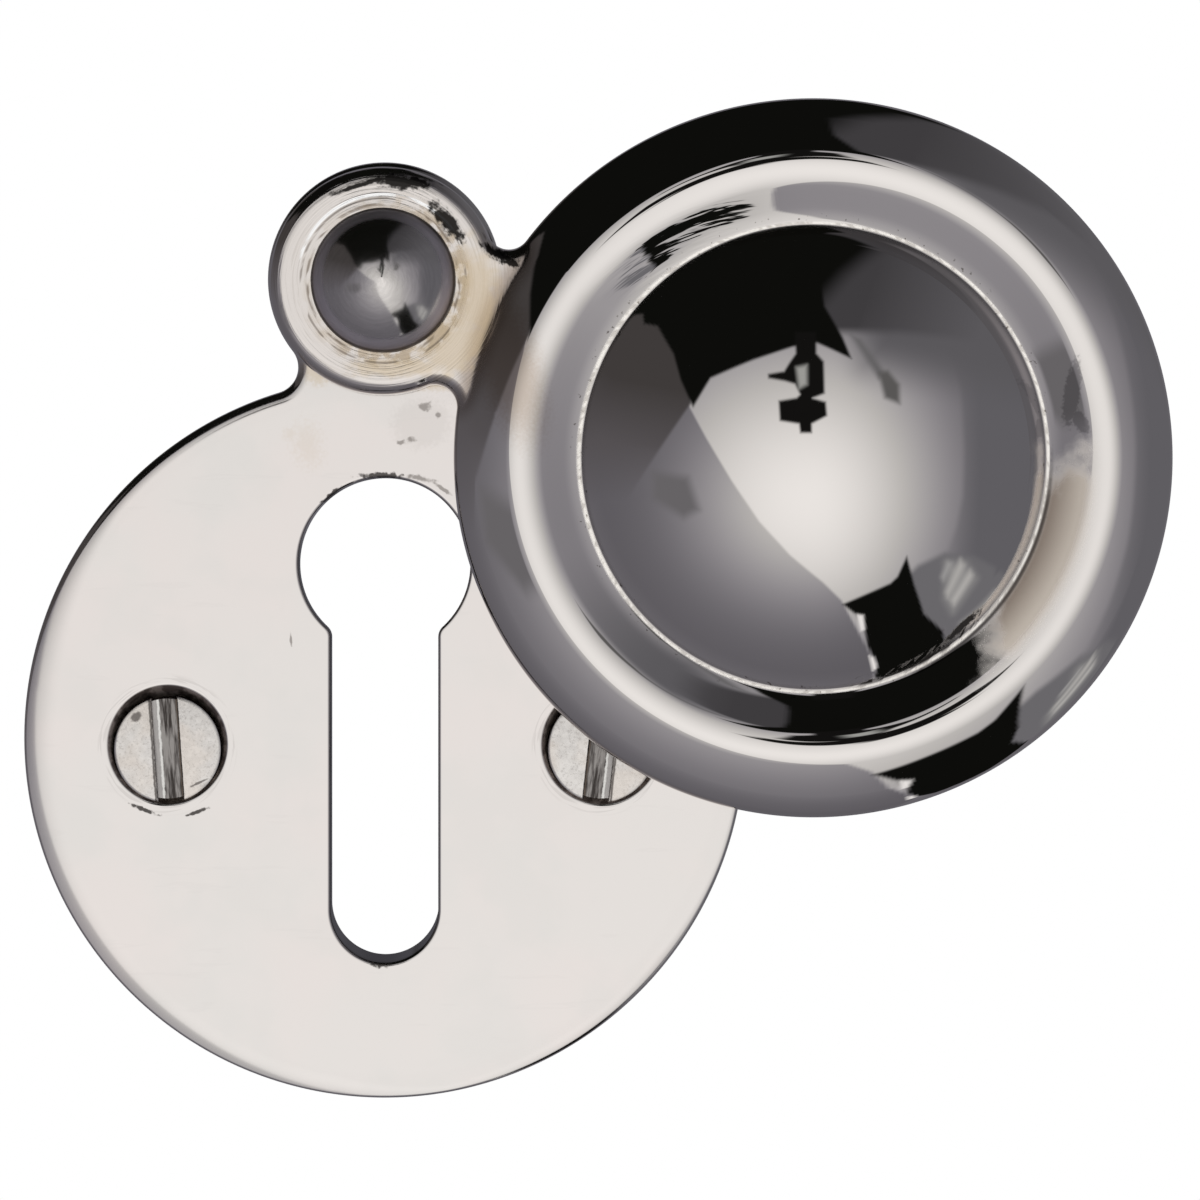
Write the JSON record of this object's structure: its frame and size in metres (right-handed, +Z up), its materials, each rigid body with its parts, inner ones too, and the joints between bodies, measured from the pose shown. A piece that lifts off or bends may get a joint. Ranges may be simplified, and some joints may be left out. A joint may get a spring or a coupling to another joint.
{
  "type": "keyhole escutcheon",
  "caption": "Round keyhole escutcheon for a door lock, with a domed cover that swings aside on a pivot pin and countersunk fixing screws.",
  "frame": {"origin": "midway between the axes of the fixing screws, in the plane of the backplate's back face, which lies on the door", "axes": "+Z up the door, +X to the right as seen from the front, +Y into the door along the screws; the cover faces -Y"},
  "size_m": [0.0524, 0.0193, 0.0456],
  "materials": {
    "plate_nickel": "bright polished nickel plate on brass, lightly scratched",
    "cover_nickel": "mirror polished nickel plate on brass",
    "pin_nickel": "mirror polished nickel plate on brass",
    "screw_nickel": "nickel plate on brass, faced and scratched"
  },
  "bodies": {
    "plate": {"backplate": "plate_nickel", "pivot_pin": "pin_nickel", "left_screw": "screw_nickel", "right_screw": "screw_nickel"},
    "cover": {"cover": "cover_nickel"}
  },
  "joints": [
    {"name": "cover_swing", "type": "hinge", "parent": "plate", "child": "cover", "pos_m": [0, -0.00328, 0.02136], "axis": [0, 1, 0], "continuous": true}
  ]
}
